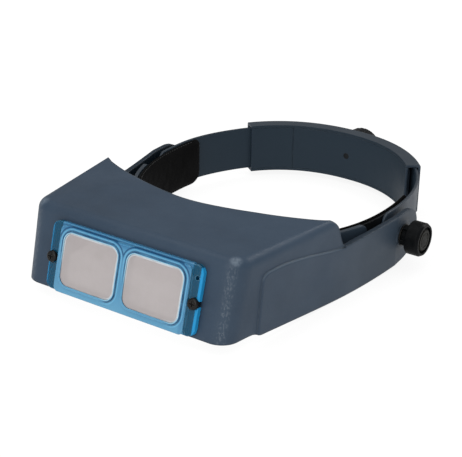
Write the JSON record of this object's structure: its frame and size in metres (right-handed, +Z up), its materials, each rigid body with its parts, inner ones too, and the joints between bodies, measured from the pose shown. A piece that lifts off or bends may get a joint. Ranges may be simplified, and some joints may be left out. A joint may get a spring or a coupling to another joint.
{
  "type": "head visor magnifier",
  "caption": "Tilting magnifier visor: a hood with a clear twin-lens plate on an adjustable padded headband, clamped by a side knob.",
  "frame": {"origin": "midway between the two pivots, on the pivot axis, at the band's mid-height", "axes": "+X to the wearer's left along the pivot axis, -Y to the front towards the lenses, +Z up"},
  "size_m": [0.1992, 0.2738, 0.0514],
  "materials": {
    "slate_plastic": "moulded, fine satin grain",
    "blue_acrylic": "clear tinted acrylic, polished, bright edges",
    "lens_glass": "polished optical glass",
    "black_plastic": "moulded, satin",
    "cap_plastic": "moulded, semi-gloss",
    "black_screw": "black oxide steel",
    "steel": "zinc-plated steel",
    "washer_nylon": "black nylon",
    "pad_fabric": "woven cover over foam, stitched edges"
  },
  "bodies": {
    "front_band": {"front_strap": "slate_plastic", "pad_carrier": "black_plastic", "pad_studs": "black_plastic", "comfort_pad": "pad_fabric", "pivot_bolt_left": "steel", "pivot_bolt_right": "steel", "friction_washer_left": "washer_nylon", "friction_washer_right": "washer_nylon", "spring_washer_right": "black_screw", "pivot_nut_right": "black_plastic"},
    "visor": {"visor_hood": "slate_plastic", "lens_plate": "blue_acrylic", "left_lens": "lens_glass", "right_lens": "lens_glass", "lens_plate_screws": "black_screw", "lens_plate_nuts": "steel"},
    "tension_knob_left": {"tension_knob_left": "black_plastic", "knob_cap_left": "cap_plastic", "spring_washer_left": "black_screw"},
    "left_strap": {"left_strap": "slate_plastic"},
    "right_strap": {"right_strap": "slate_plastic"},
    "rear_housing": {"rear_housing_outer": "slate_plastic", "rear_housing_inner": "slate_plastic", "detent_washer": "steel"},
    "size_knob": {"adjust_knob": "black_plastic", "adjust_knob_screw": "black_screw", "pinion": "black_plastic"}
  },
  "joints": [
    {"name": "visor_tilt", "type": "hinge", "parent": "front_band", "child": "visor", "pos_m": [0, 0, 0], "axis": [-1, 0, 0], "range_deg": [-25, 60]},
    {"name": "tension_knob_left_turn", "type": "hinge", "parent": "front_band", "child": "tension_knob_left", "pos_m": [0.09, 0, 0], "axis": [1, 0, 0], "range_deg": [-180, 180]},
    {"name": "size_slide", "type": "slide", "parent": "front_band", "child": "rear_housing", "axis": [0, 1, 0], "range_m": [-0.0035, 0.0035]},
    {"name": "left_strap_flex", "type": "hinge", "parent": "front_band", "child": "left_strap", "pos_m": [0.0822, 0, 0], "axis": [0, 0, 1], "range_deg": [-2.6, 2.6]},
    {"name": "right_strap_flex", "type": "hinge", "parent": "front_band", "child": "right_strap", "pos_m": [-0.0822, 0, 0], "axis": [0, 0, 1], "range_deg": [-2.6, 2.6]},
    {"name": "size_knob_turn", "type": "hinge", "parent": "rear_housing", "child": "size_knob", "pos_m": [0, 0.1, 0], "axis": [0, 1, 0], "range_deg": [-48, 48]}
  ],
  "couplings": [
    {"joint": "left_strap_flex", "follows": "size_slide", "rad_per_m": -12.165},
    {"joint": "right_strap_flex", "follows": "size_slide", "rad_per_m": 12.165},
    {"joint": "size_knob_turn", "follows": "size_slide", "rad_per_m": 228.5}
  ]
}
